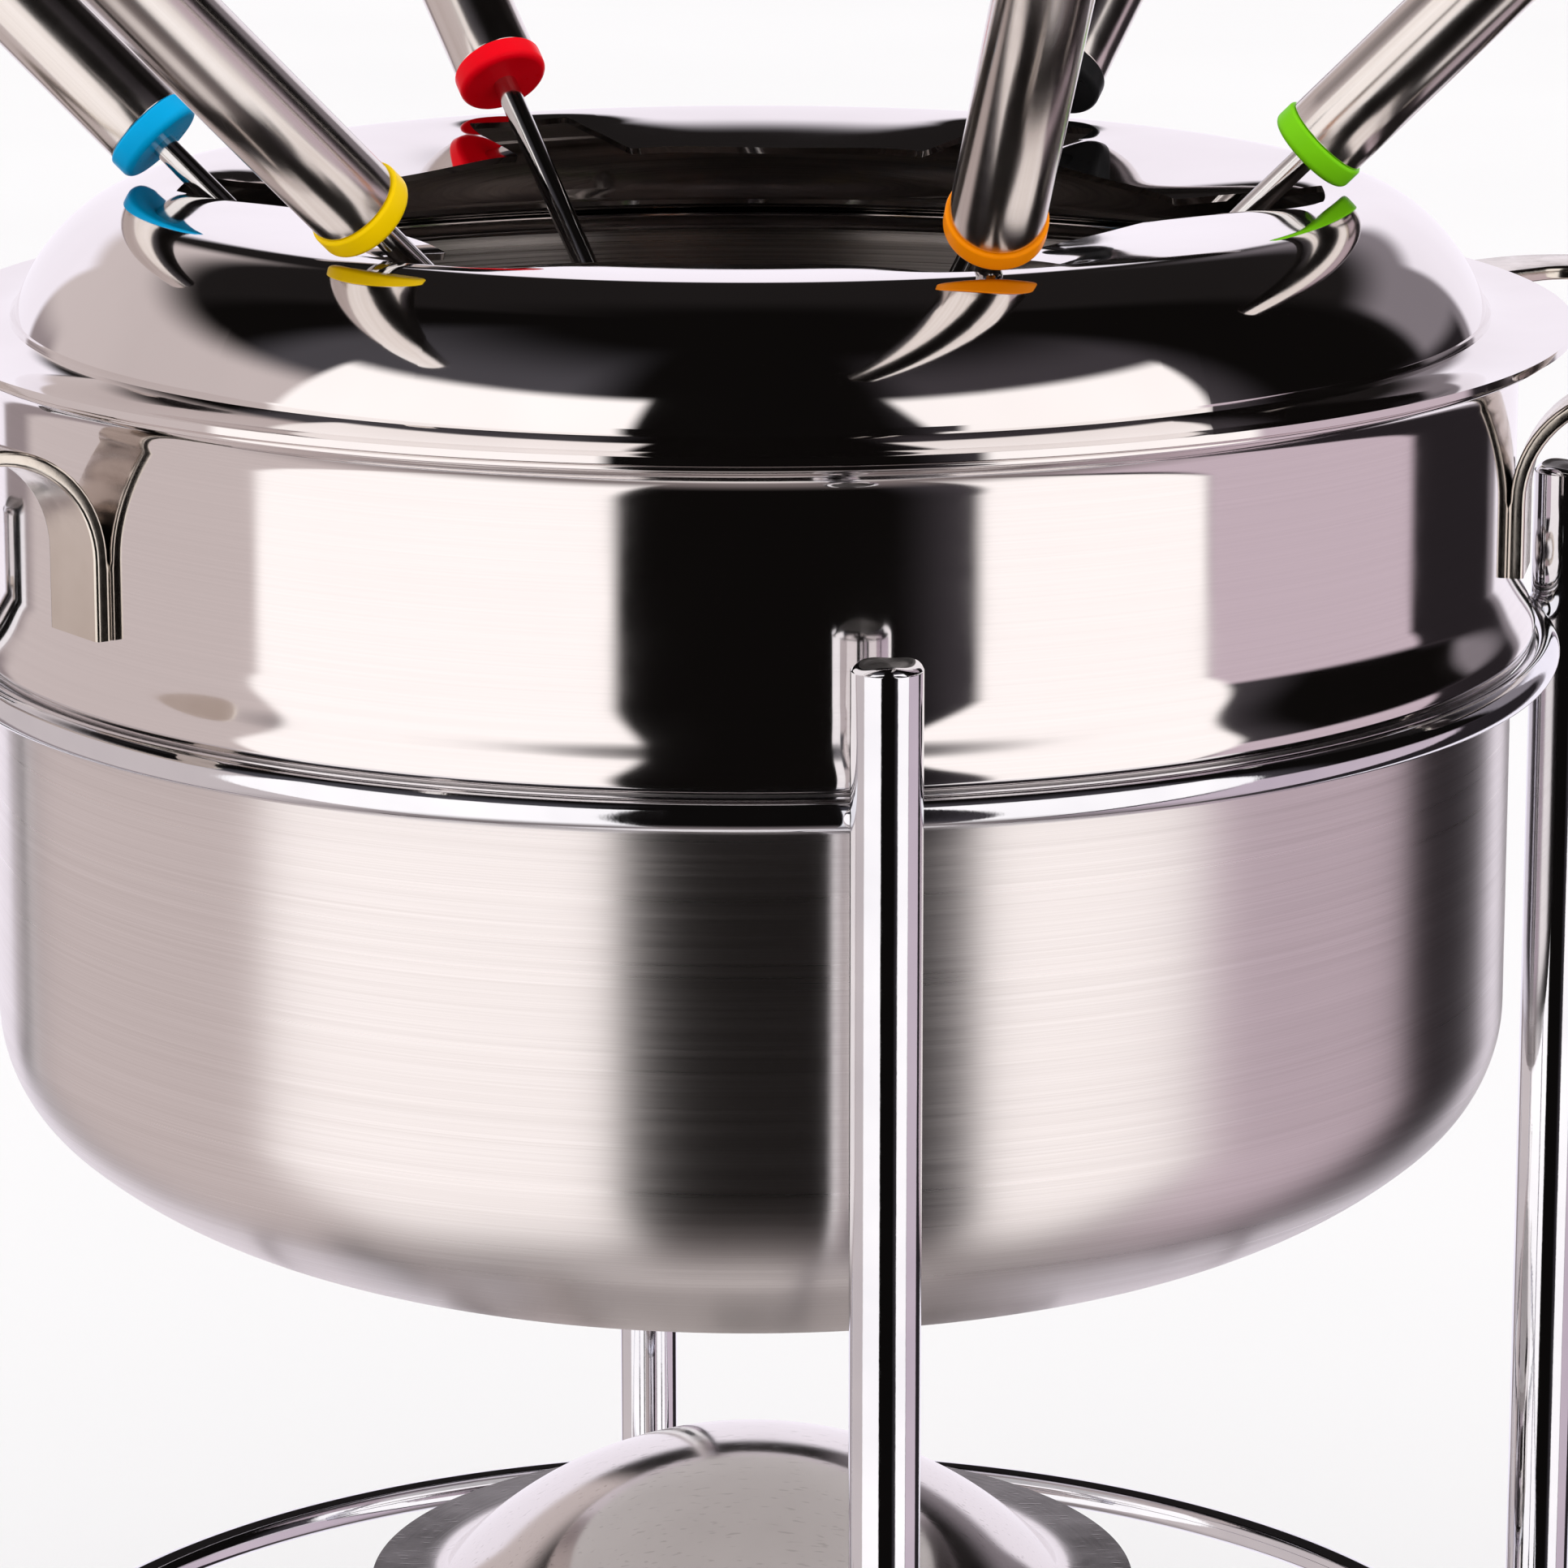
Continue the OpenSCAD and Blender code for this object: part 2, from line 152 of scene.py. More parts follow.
def round_end(a, b, n=6):
    """The points of a half circle from a round to b, on the right of the line from a to b."""
    cx, cz = (a[0] + b[0]) / 2, (a[1] + b[1]) / 2
    r = math.dist(a, b) / 2
    start = math.atan2(a[1] - cz, a[0] - cx)
    return [
        (cx + r * math.cos(start + math.pi * i / n), cz + r * math.sin(start + math.pi * i / n))
        for i in range(1, n)
    ]


def ease(x):
    """0 up to 0, 1 from 1 on, and a smooth step between."""
    t = min(max(x, 0), 1)
    return t * t * (3 - 2 * t)


# ---- Meshes ----


def mesh_object(name, verts, faces, material, sharp=40):
    mesh = bpy.data.meshes.new(name)
    mesh.from_pydata(verts, [], faces)
    mesh.validate()
    mesh.update()
    obj = bpy.data.objects.new(name, mesh)
    bpy.context.scene.collection.objects.link(obj)
    mesh.polygons.foreach_set("use_smooth", [True] * len(mesh.polygons))
    mesh.set_sharp_from_angle(angle=math.radians(sharp))
    for m in material if isinstance(material, (list, tuple)) else [material]:
        mesh.materials.append(m)
    return obj


def lathe(name, outline, material, segments=192):
    """Turns a closed outline of (radius, height) round the Z axis. Points on the axis become one vertex."""
    outline = tidy(outline)
    if math.dist(outline[0], outline[-1]) < 1e-7:
        outline = outline[:-1]
    verts, rows = [], []
    for r, z in outline:
        if r < 1e-6:
            verts.append((0, 0, z))
            rows.append([len(verts) - 1] * segments)
            continue
        first = len(verts)
        for k in range(segments):
            a = 2 * math.pi * k / segments
            verts.append((r * math.cos(a), r * math.sin(a), z))
        rows.append(list(range(first, first + segments)))
    faces = []
    for low, high in zip(rows, rows[1:] + rows[:1]):
        for k in range(segments):
            corner = [low[k], low[(k + 1) % segments], high[(k + 1) % segments], high[k]]
            face = [v for i, v in enumerate(corner) if v != corner[i - 1]]
            if len(set(face)) >= 3:
                faces.append(face)
    return mesh_object(name, verts, faces, material)


def tube_along(name, points, r, material, sides=24):
    """A round rod along points, closed at both ends."""
    verts, faces = [], []
    up = Vector((0, 0, 1))
    for i, p in enumerate(points):
        a, b = Vector(points[max(i - 1, 0)]), Vector(points[min(i + 1, len(points) - 1)])
        along = (b - a).normalized()
        side = along.cross(up).normalized() if abs(along.z) < 0.99 else Vector((1, 0, 0))
        over = side.cross(along)
        for k in range(sides):
            t = 2 * math.pi * k / sides
            verts.append(Vector(p) + r * (math.cos(t) * side + math.sin(t) * over))
    for i in range(len(points) - 1):
        for k in range(sides):
            a, b = i * sides + k, i * sides + (k + 1) % sides
            faces.append([a, b, b + sides, a + sides])
    faces.append(list(range(sides))[::-1])
    faces.append([len(verts) - sides + k for k in range(sides)])
    return mesh_object(name, verts, faces, material, 60)


def finish_piece(obj, body, slot, *nodes):
    """The piece rides on a body and stands for the CAD nodes; slot is not used."""
    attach(obj, body)
    if nodes:
        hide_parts(*nodes)


# ---- Materials ----


class Shader:
    """A Principled material with short calls for its nodes."""

    def __init__(self, name, colour, metallic, roughness):
        self.material = bpy.data.materials.new(name)
        self.material.use_nodes = True
        self.tree = self.material.node_tree
        self.bsdf = self.tree.nodes["Principled BSDF"]
        self.set("Base Color", (*colour, 1))
        self.set("Metallic", metallic)
        self.set("Roughness", roughness)

    def set(self, socket, value):
        self.bsdf.inputs[socket].default_value = value

    def node(self, kind, **values):
        n = self.tree.nodes.new(kind)
        for key, value in values.items():
            setattr(n, key, value)
        return n

    def link(self, a, b):
        self.tree.links.new(a, b)

    def math(self, operation, a, b=None):
        n = self.node("ShaderNodeMath", operation=operation)
        for socket, value in zip(n.inputs, (a, b)):
            if value is None:
                continue
            if hasattr(value, "links"):
                self.link(value, socket)
            else:
                socket.default_value = value
        return n.outputs[0]

    def object_xyz(self):
        coords = self.node("ShaderNodeTexCoord").outputs["Object"]
        split = self.node("ShaderNodeSeparateXYZ")
        self.link(coords, split.inputs[0])
        return coords, split.outputs

    def vector(self, x, y, z):
        n = self.node("ShaderNodeCombineXYZ")
        for socket, value in zip(n.inputs, (x, y, z)):
            self.link(value, socket)
        return n.outputs[0]

    def turned_grain(self, along, across):
        """Coordinates that run slowly round the Z axis and fast along the profile of a turned piece."""
        _, (x, y, z) = self.object_xyz()
        r = self.math("SQRT", self.math("ADD", self.math("MULTIPLY", x, x), self.math("MULTIPLY", y, y)))
        profile = self.math("MULTIPLY", self.math("ADD", r, z), across)
        return self.vector(self.math("MULTIPLY", x, along), self.math("MULTIPLY", y, along), profile)

    def straight_grain(self, along, across):
        """Coordinates that run slowly along Z and fast round it."""
        _, (x, y, z) = self.object_xyz()
        return self.vector(
            self.math("MULTIPLY", x, across), self.math("MULTIPLY", y, across), self.math("MULTIPLY", z, along)
        )

    def noise(self, vector, scale, detail=3.0, roughness=0.6):
        n = self.node("ShaderNodeTexNoise")
        self.link(vector, n.inputs["Vector"])
        n.inputs["Scale"].default_value = scale
        n.inputs["Detail"].default_value = detail
        n.inputs["Roughness"].default_value = roughness
        return n.outputs["Fac"]

    def spread(self, fac, low, high, start=0.3, end=0.7):
        """Maps fac from start..end to low..high."""
        n = self.node("ShaderNodeMapRange")
        self.link(fac, n.inputs["Value"])
        for key, value in (("From Min", start), ("From Max", end), ("To Min", low), ("To Max", high)):
            n.inputs[key].default_value = value
        return n.outputs[0]

    def rough(self, fac, low, high, start=0.3, end=0.7):
        self.link(self.spread(fac, low, high, start, end), self.bsdf.inputs["Roughness"])

    def tint(self, fac, a, b, start=0.3, end=0.7):
        ramp = self.node("ShaderNodeValToRGB")
        self.link(fac, ramp.inputs[0])
        ramp.color_ramp.elements[0].position = start
        ramp.color_ramp.elements[0].color = (*a, 1)
        ramp.color_ramp.elements[1].position = end
        ramp.color_ramp.elements[1].color = (*b, 1)
        self.link(ramp.outputs[0], self.bsdf.inputs["Base Color"])

    def bump(self, height, distance, strength=1.0):
        n = self.node("ShaderNodeBump")
        n.inputs["Distance"].default_value = distance
        n.inputs["Strength"].default_value = strength
        self.link(height, n.inputs["Height"])
        previous = self.bsdf.inputs["Normal"].links
        if previous:
            self.link(previous[0].from_socket, n.inputs["Normal"])
        self.link(n.outputs[0], self.bsdf.inputs["Normal"])

    def across_grain(self, amount):
        """Fine grooves round the Z axis, which blur reflections up and down and hardly sideways."""
        n = self.node("ShaderNodeTangent", direction_type="RADIAL", axis="Z")
        self.link(n.outputs[0], self.bsdf.inputs["Tangent"])
        self.set("Anisotropic", amount)
        self.set("Anisotropic Rotation", 0.25)


def chrome():
    s = Shader("chrome", (0.82, 0.83, 0.86), 1.0, 0.04)
    coords, _ = s.object_xyz()
    s.tint(s.noise(coords, 60), (0.74, 0.75, 0.79), (0.84, 0.85, 0.88))
    s.rough(s.noise(coords, 300, 5), 0.02, 0.09)
    s.bump(s.noise(coords, 45, 2), 0.00008)
    s.bump(s.noise(coords, 900, 2), 0.000004)
    return s.material


def mirror_steel():
    s = Shader("mirror_steel", (0.82, 0.79, 0.78), 1.0, 0.03)
    grain = s.turned_grain(20, 2500)
    coords, _ = s.object_xyz()
    s.tint(s.noise(coords, 25), (0.77, 0.74, 0.73), (0.85, 0.82, 0.81))
    s.rough(s.noise(coords, 70, 6), 0.02, 0.06)
    s.bump(s.noise(coords, 22, 1), 0.00008)
    s.bump(s.noise(grain, 1, 2), 0.0000006)
    return s.material


def polished_wall():
    s = Shader("polished_wall", (0.82, 0.785, 0.775), 1.0, 0.08)
    s.across_grain(0.5)
    grain = s.turned_grain(12, 5000)
    coords, _ = s.object_xyz()
    s.tint(s.noise(grain, 1, 4), (0.80, 0.765, 0.755), (0.84, 0.805, 0.795))
    s.rough(s.noise(coords, 60, 4), 0.05, 0.11)
    s.bump(s.noise(coords, 28, 1), 0.00007)
    s.bump(s.noise(grain, 1, 3), 0.0000004)
    return s.material


def brushed_body():
    s = Shader("brushed_body", (0.84, 0.80, 0.785), 1.0, 0.28)
    s.across_grain(0.9)
    grain = s.turned_grain(9, 6500)
    coarse = s.turned_grain(5, 1500)
    s.tint(s.noise(grain, 1, 5, 0.7), (0.76, 0.72, 0.705), (0.88, 0.845, 0.835), 0.3, 0.7)
    s.rough(s.noise(coarse, 1, 4), 0.27, 0.32)
    s.bump(s.noise(grain, 1, 3), 0.0000009)
    return s.material


def brushed_inside_painted_shade():
    # Steel inside the pot: its dark colour, about half that of the same steel outside, is painted shade of the
    # hollow; the light and dark streaks follow the brushing grain.
    s = Shader("brushed_inside_painted_shade", (0.42, 0.38, 0.36), 1.0, 0.32)
    s.across_grain(0.85)
    grain = s.turned_grain(8, 4500)
    s.tint(s.noise(grain, 1, 6, 0.7), (0.34, 0.30, 0.28), (0.78, 0.72, 0.69), 0.3, 0.7)
    s.rough(s.noise(grain, 1, 5), 0.24, 0.38)
    s.bump(s.noise(grain, 1, 4), 0.000006)
    return s.material


def satin_strap():
    s = Shader("satin_strap", (0.74, 0.68, 0.60), 1.0, 0.2)
    coords, _ = s.object_xyz()
    s.tint(s.noise(coords, 35, 4), (0.66, 0.60, 0.52), (0.80, 0.75, 0.68))
    s.rough(s.noise(coords, 220, 5), 0.12, 0.26)
    s.bump(s.noise(coords, 700, 4), 0.000012)
    return s.material


def satin_tube():
    s = Shader("satin_tube", (0.74, 0.71, 0.69), 1.0, 0.12)
    grain = s.straight_grain(6, 700)
    coords, _ = s.object_xyz()
    s.tint(s.noise(grain, 1, 4), (0.66, 0.61, 0.57), (0.78, 0.745, 0.72), 0.3, 0.7)
    s.rough(s.noise(coords, 120, 5), 0.15, 0.21)
    s.bump(s.noise(grain, 1, 3), 0.000002)
    s.bump(s.noise(coords, 60, 2), 0.000006)
    return s.material


def fork_steel():
    s = Shader("fork_steel", (0.74, 0.73, 0.72), 1.0, 0.1)
    grain = s.straight_grain(60, 3000)
    s.tint(s.noise(grain, 1, 4), (0.62, 0.61, 0.60), (0.80, 0.79, 0.78))
    s.rough(s.noise(grain, 1, 4), 0.06, 0.18)
    s.bump(s.noise(grain, 1, 3), 0.00001)
    return s.material


def collar_plastic(name, colour):
    s = Shader(name, colour, 0.0, 0.3)
    s.set("Specular IOR Level", 0.06)
    coords, _ = s.object_xyz()
    s.tint(s.noise(coords, 90, 2), tuple(0.88 * c for c in colour), colour, 0.25, 0.6)
    s.rough(s.noise(coords, 500, 3), 0.26, 0.38)
    s.bump(s.noise(coords, 900, 3), 0.00001)
    return s.material


def burner_satin():
    s = Shader("burner_satin", (0.74, 0.71, 0.70), 1.0, 0.11)
    s.across_grain(0.25)
    coords, (x, y, z) = s.object_xyz()
    # Short dashes, all lying one way, as a buffing belt leaves them
    dashes = s.vector(s.math("MULTIPLY", x, 520), s.math("MULTIPLY", y, 2600), s.math("MULTIPLY", z, 2600))
    marks = s.spread(s.noise(dashes, 1, 0), 0.0, 1.0, 0.70, 0.80)
    s.tint(marks, (0.75, 0.72, 0.71), (0.62, 0.59, 0.58), 0.0, 1.0)
    s.rough(s.noise(coords, 120, 5), 0.08, 0.14)
    s.bump(marks, 0.000004, 0.5)
    s.bump(s.noise(s.turned_grain(30, 1800), 1, 3), 0.000002)
    return s.material


def pale_base_painted_reflection():
    """The dull base of the pot, a pale non-metal whose pale colour is a painted reflection of the white table
    that the steel base mirrors; it also takes the light that the table throws up.
    """
    s = Shader("pale_base_painted_reflection", (0.93, 0.90, 0.89), 0.0, 0.5)
    coords, _ = s.object_xyz()
    s.tint(s.noise(coords, 60, 3), (0.88, 0.85, 0.84), (0.94, 0.91, 0.90))
    s.rough(s.noise(coords, 200, 4), 0.42, 0.55)
    s.bump(s.noise(coords, 1800, 3), 0.000006)
    return s.material


def plain_steel(name, colour, low, high):
    s = Shader(name, colour, 1.0, low)
    coords, _ = s.object_xyz()
    dark = tuple(0.8 * c for c in colour)
    s.tint(s.noise(coords, 150, 4), dark, colour)
    s.rough(s.noise(coords, 400, 4), low, high)
    s.bump(s.noise(coords, 1200, 3), 0.00001)
    return s.material


def cap_plastic():
    s = Shader("cap_plastic", (0.03, 0.03, 0.03), 0.0, 0.5)
    coords, _ = s.object_xyz()
    s.tint(s.noise(coords, 200, 3), (0.02, 0.02, 0.02), (0.05, 0.05, 0.052))
    s.rough(s.noise(coords, 600, 3), 0.4, 0.6)
    s.bump(s.noise(coords, 2500, 4), 0.00004)
    return s.material


def fuel_wool():
    s = Shader("fuel_wool", (0.86, 0.82, 0.72), 0.0, 0.95)
    _, (x, y, z) = s.object_xyz()
    fibres = s.vector(s.math("MULTIPLY", x, 900), s.math("MULTIPLY", y, 200), s.math("MULTIPLY", z, 900))
    s.set("Sheen Weight", 0.4)
    s.tint(s.noise(fibres, 1, 6), (0.62, 0.57, 0.46), (0.92, 0.89, 0.80))
    s.bump(s.noise(fibres, 1, 6), 0.0006)
    return s.material


CHROME = chrome()
MIRROR = mirror_steel()
WALL = polished_wall()
BODY = brushed_body()
INSIDE = brushed_inside_painted_shade()
STRAP = satin_strap()
TUBE = satin_tube()
PRONG = fork_steel()
BURNER = burner_satin()
RIVET = plain_steel("rivet_steel", (0.62, 0.61, 0.60), 0.15, 0.3)
BASE = pale_base_painted_reflection()
CUT_END = plain_steel("cut_end", (0.46, 0.45, 0.45), 0.3, 0.55)
GAUZE = plain_steel("gauze_wire", (0.42, 0.41, 0.40), 0.35, 0.55)
CAP = cap_plastic()
WOOL = fuel_wool()
PLASTICS = {
    "green": collar_plastic("green_plastic", (0.22, 0.70, 0.008)),
    "black": collar_plastic("black_plastic", (0.015, 0.015, 0.016)),
    "red": collar_plastic("red_plastic", (1.0, 0.0, 0.01)),
    "blue": collar_plastic("blue_plastic", (0.0, 0.43, 0.84)),
    "yellow": collar_plastic("yellow_plastic", (1.0, 0.66, 0.0)),
    "orange": collar_plastic("orange_plastic", (1.0, 0.285, 0.0)),
}


# ---- Stand ----


def make_rings():
    for name, z, r in (
        ("upper_ring", UPPER_RING_Z, RING_R),
        ("lower_ring", LOWER_RING_Z, RING_R),
        ("burner_ring", LOWER_RING_Z, HOLDER_R),
    ):
        ring = lathe(f"{name}_wire", arc(r, z, WIRE_R, 0, 360, 32), CHROME, 256)
        finish_piece(ring, "stand", "chrome_rod", name)


def make_leg(side):
    """A solid rod whose top was sheared off, a little crushed and uneven."""
    low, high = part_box(f"leg_{side}")
    burr, edge, crown, dish = 0.5 * MM, 1.1 * MM, 1.2 * MM, 0.3 * MM
    outline = [(0, low.z), (LEG_R, low.z)]
    outline += [(LEG_R, low.z + (high.z - low.z - crown) * i / 40) for i in range(1, 41)]
    outline += arc(LEG_R - edge, high.z - crown, edge, 0, 80, 10)
    outline += [(LEG_R * k / 8, high.z - dish) for k in range(5, -1, -1)]
    leg = lathe(f"leg_{side}_rod", outline, [CHROME, CUT_END], 96)
    rng = random.Random(f"leg {side}")
    slope, turn = rng.uniform(0.6, 1.0) * burr, rng.uniform(0, 2 * math.pi)
    for v in leg.data.vertices:
        r = math.hypot(v.co.x, v.co.y)
        if v.co.z > high.z - 1.0 * MM:
            a = math.atan2(v.co.y, v.co.x)
            v.co.z -= burr * (0.5 + 0.5 * math.sin(3 * a + turn)) * (r / LEG_R) ** 2
            v.co.z -= slope * max(0, math.cos(a - turn)) * r / LEG_R
    for face in leg.data.polygons:
        if face.center.z > high.z - 0.9 * MM and math.hypot(face.center.x, face.center.y) < LEG_R - 0.9 * MM:
            face.material_index = 1
    centre = middle(f"leg_{side}")
    leg.data.transform(Matrix.Translation((centre.x, centre.y, 0)))
    finish_piece(leg, "stand", "chrome_rod", f"leg_{side}")


def make_weld(side, z, name):
    """The small plated fillet where a ring is resistance-welded to a rod."""
    centre = middle(f"leg_{side}")
    out = Vector((centre.x, centre.y, 0)).normalized()
    across = Vector((-out.y, out.x, 0))
    at = out * (RING_R + WIRE_R * 0.55)
    half_l, half_w, half_h = 4.3 * MM, 1.9 * MM, 1.75 * MM
    verts, faces = [], []
    rows, columns = 16, 24
    for i in range(rows + 1):
        u = math.pi * i / rows
        for k in range(columns):
            v = 2 * math.pi * k / columns
            bulge = math.sin(u) ** 0.8
            p = at + across * (half_l * math.cos(u)) + out * (half_w * bulge * math.cos(v))
            verts.append(Vector((p.x, p.y, z + half_h * bulge * math.sin(v))))
    for i in range(rows):
        for k in range(columns):
            a, b = i * columns + k, i * columns + (k + 1) % columns
            faces.append([a, b, b + columns, a + columns])
    weld = mesh_object(f"{name}_weld_{side}", verts, faces, CHROME, 80)
    finish_piece(weld, "stand", "chrome_rod")


def make_foot_cap(side):
    low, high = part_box(f"foot_cap_{side}")
    centre = middle(f"foot_cap_{side}")
    r = (high.x - low.x) / 2
    h = high.z - low.z
    sole, lower_edge, upper_edge = 2 * MM, 1 * MM, 0.5 * MM
    outline = [(0, 0), (r - lower_edge, 0)] + arc(r - lower_edge, lower_edge, lower_edge, -90, 0, 8)
    outline += arc(r - upper_edge, h - upper_edge, upper_edge, 0, 90, 6)
    outline += [(LEG_R, h), (LEG_R, sole), (0, sole)]
    cap = lathe(f"foot_cap_{side}_moulding", outline, CAP, 64)
    cap.data.transform(Matrix.Translation((centre.x, centre.y, low.z)))
    finish_piece(cap, "stand", "foot_plastic", f"foot_cap_{side}")


def make_spoke(side):
    centre = middle(f"leg_{side}")
    out = Vector((centre.x, centre.y, 0)).normalized()
    low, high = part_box(f"spoke_{side}")
    r = (high.z - low.z) / 2
    start, end = HOLDER_R + WIRE_R * 0.4, RING_R - WIRE_R * 0.4
    points = [out * (start + (end - start) * i / 12) + Vector((0, 0, LOWER_RING_Z)) for i in range(13)]
    rod = tube_along(f"spoke_{side}_rod", points, r, CHROME)
    finish_piece(rod, "stand", "chrome_rod", f"spoke_{side}")


make_rings()
for side in SIDES:
    make_leg(side)
    make_foot_cap(side)
    make_spoke(side)
    make_weld(side, UPPER_RING_Z, "upper")
    make_weld(side, LOWER_RING_Z, "lower")


# ---- Pot ----

CORNER_R = 18 * MM
CORNER_TURN = 48
BASE_BLEND_R = 48 * MM
LIP_FLARE_R = 4 * MM
BEAD_R = 3.2 * MM
BEAD_INSET = 0.5 * MM
BEAD_SLOPE = 7 * MM
BEAD_GAP = 0.1 * MM


def pot_path():
    """The outer face of the pot, from the middle of its base to the edge of its lip."""
    turn = math.radians(CORNER_TURN)
    tight = (POT_R - CORNER_R, POT_BASE_Z + BASE_BLEND_R - (BASE_BLEND_R - CORNER_R) * math.sin(turn))
    shift = CORNER_R - BASE_BLEND_R
    wide = (tight[0] + shift * math.cos(turn), tight[1] - shift * math.sin(turn))
    path = [(0, POT_BASE_Z)]
    path += arc(*wide, BASE_BLEND_R, -90, -CORNER_TURN)
    path += arc(*tight, CORNER_R, -CORNER_TURN, 0)
    return path


def bead_path():
    """The rolled bead that rests on the ring, and the long slope from it up to the wall."""
    lean, reach = 15, 2 * MM
    cx = POT_R - BEAD_INSET
    cz = UPPER_RING_Z + math.sqrt((BEAD_R + WIRE_R + BEAD_GAP) ** 2 - (RING_R - cx) ** 2)
    meet = math.degrees(math.acos((POT_R - cx) / BEAD_R))
    bead = arc(cx, cz, BEAD_R, -meet, lean)
    x, z = bead[-1]
    leave = (x - reach * math.sin(math.radians(lean)), z + reach * math.cos(math.radians(lean)))
    return bead + curve((x, z), leave, (POT_R, z + 4 * MM), (POT_R, z + BEAD_SLOPE))


def lip_path():
    cz = LIP_Z - LIP_FLARE_R - SHEET
    return arc(POT_R + LIP_FLARE_R, cz, LIP_FLARE_R, 180, 90) + [(LIP_R, LIP_Z - SHEET)]


def make_pot():
    pot = lathe("pot_body", sheet_outline(pot_path() + bead_path() + lip_path()), [WALL, BODY, INSIDE, BASE], 384)
    for face in pot.data.polygons:
        c = face.center
        r = math.hypot(c.x, c.y)
        outward = (face.normal.x * c.x + face.normal.y * c.y) / max(r, 1e-6)
        inner = outward < -0.05 or (outward < 0.3 and face.normal.z > 0.5 and c.z < LIP_Z - 12 * MM)
        # Faces inside the pot take the steel with painted shade.
        if inner and c.z < LIP_Z - 3 * MM:
            face.material_index = 2
        elif c.z < UPPER_RING_Z + 2 * MM:
            face.material_index = 3 if c.z < POT_BASE_Z + 0.2 * MM else 1
    finish_piece(pot, "pot", "pot_steel", "pot_shell")


make_pot()


# ---- Straps: flat steel bars with rounded edges ----


def strap_section(width, thick, edge):
    """Points (across, over) round the section of a strap."""
    points = []
    for cx, cy, start in ((1, 1, 0), (-1, 1, 90), (-1, -1, 180), (1, -1, 270)):
        for i in range(6):
            a = math.radians(start + 18 * i)
            points.append((
                cx * (width / 2 - edge) + edge * math.cos(a), cy * (thick / 2 - edge) + edge * math.sin(a)
            ))
    return points


def strap_along(name, stations, section, material):
    """A strap through stations of (point, direction across the strap, direction over it)."""
    verts, faces = [], []
    n = len(section)
    for point, across, over in stations:
        verts += [point + across * u + over * v for u, v in section]
    for i in range(len(stations) - 1):
        for k in range(n):
            a, b = i * n + k, i * n + (k + 1) % n
            faces.append([a, b, b + n, a + n])
    faces.append(list(range(n))[::-1])
    faces.append([len(verts) - n + k for k in range(n)])
    return mesh_object(name, verts, faces, material, 60)


STRAP_W = 10.6 * MM
STRAP_T = 1.8 * MM
STRAP_BEND_R = 12 * MM
STRAP_CORNER_R = 16 * MM
STRAP_EDGE = 0.55 * MM
STRAP_REACH = 131 * MM
STRAP_TURN = 12
STRAP_SPREAD = math.radians(23)


def handle_half(top_z, base_z):
    """Stations of half a pot handle, from its foot on the wall to the middle of its grip."""
    bend_x, bend_z = POT_R + STRAP_T + STRAP_BEND_R, top_z - STRAP_BEND_R
    up = Vector((0, 0, 1))
    out = Vector((math.cos(STRAP_SPREAD), math.sin(STRAP_SPREAD), 0))
    side = Vector((-out.y, out.x, 0))
    stations = []
    for i in range(12):
        z = base_z + (bend_z - base_z) * i / 12
        stations.append((out * (POT_R + STRAP_T / 2) + up * z, side, -out))
    for i in range(17):
        a = math.pi - math.pi / 2 * i / 16
        over = out * math.cos(a) + up * math.sin(a)
        stations.append((out * bend_x + up * bend_z + over * (STRAP_BEND_R + STRAP_T / 2), side, over))
    middle_r = STRAP_CORNER_R - STRAP_W / 2
    corner_x = STRAP_REACH - STRAP_CORNER_R
    corner_y = (corner_x * math.sin(STRAP_SPREAD) - middle_r) / math.cos(STRAP_SPREAD)
    z = top_z + STRAP_T / 2
    arm_start, arm_end = out * bend_x, Vector((corner_x, corner_y, 0)) + side * middle_r
    for i in range(1, 5):
        stations.append((arm_start.lerp(arm_end, i / 5) + up * z, side, up))
    for i in range(25):
        a = (math.pi / 2 + STRAP_SPREAD) * (1 - i / 24)
        across = Vector((math.cos(a), math.sin(a), 0))
        stations.append((Vector((corner_x, corner_y, z)) + across * middle_r, across, up))
    for i in range(1, 7):
        stations.append((Vector((STRAP_REACH - STRAP_W / 2, corner_y * (1 - i / 6), z)), Vector((1, 0, 0)), up))
    return stations


def make_pot_handle(side, turn):
    low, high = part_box(f"pot_handle_{side}")
    top_z = high.z - STRAP_T
    half = handle_half(top_z, low.z)
    flip = Matrix.Scale(-1, 3, Vector((0, 1, 0)))
    other = [(flip @ point, flip @ across, flip @ over) for point, across, over in half[-2::-1]]
    section = strap_section(STRAP_W, STRAP_T, STRAP_EDGE)
    handle = strap_along(f"{side}_handle_strap", half + other, section, STRAP)
    # The back of each foot is pressed against the pot's wall, where it is welded
    for v in handle.data.vertices:
        r = math.hypot(v.co.x, v.co.y)
        if v.co.z < top_z - STRAP_BEND_R and r < POT_R + 0.5 * MM:
            pull = (POT_R + 0.02 * MM) / r
            v.co.x *= pull
            v.co.y *= pull
    handle.data.transform(Matrix.Rotation(math.radians(turn), 4, "Z"))
    finish_piece(handle, "pot", "strap_steel", f"pot_handle_{side}")


make_pot_handle("right", STRAP_TURN)
make_pot_handle("left", STRAP_TURN + 180)


# ---- Fork guard ----


def opening_r(off):
    """Radius of the opening, an angle off in degrees from the nearest fork place."""
    edge = PETAL_R / math.cos(math.radians(30 - off))
    return NOTCH_R + (edge - NOTCH_R) * ease((off - NOTCH_HALF) / NOTCH_SLOPE)


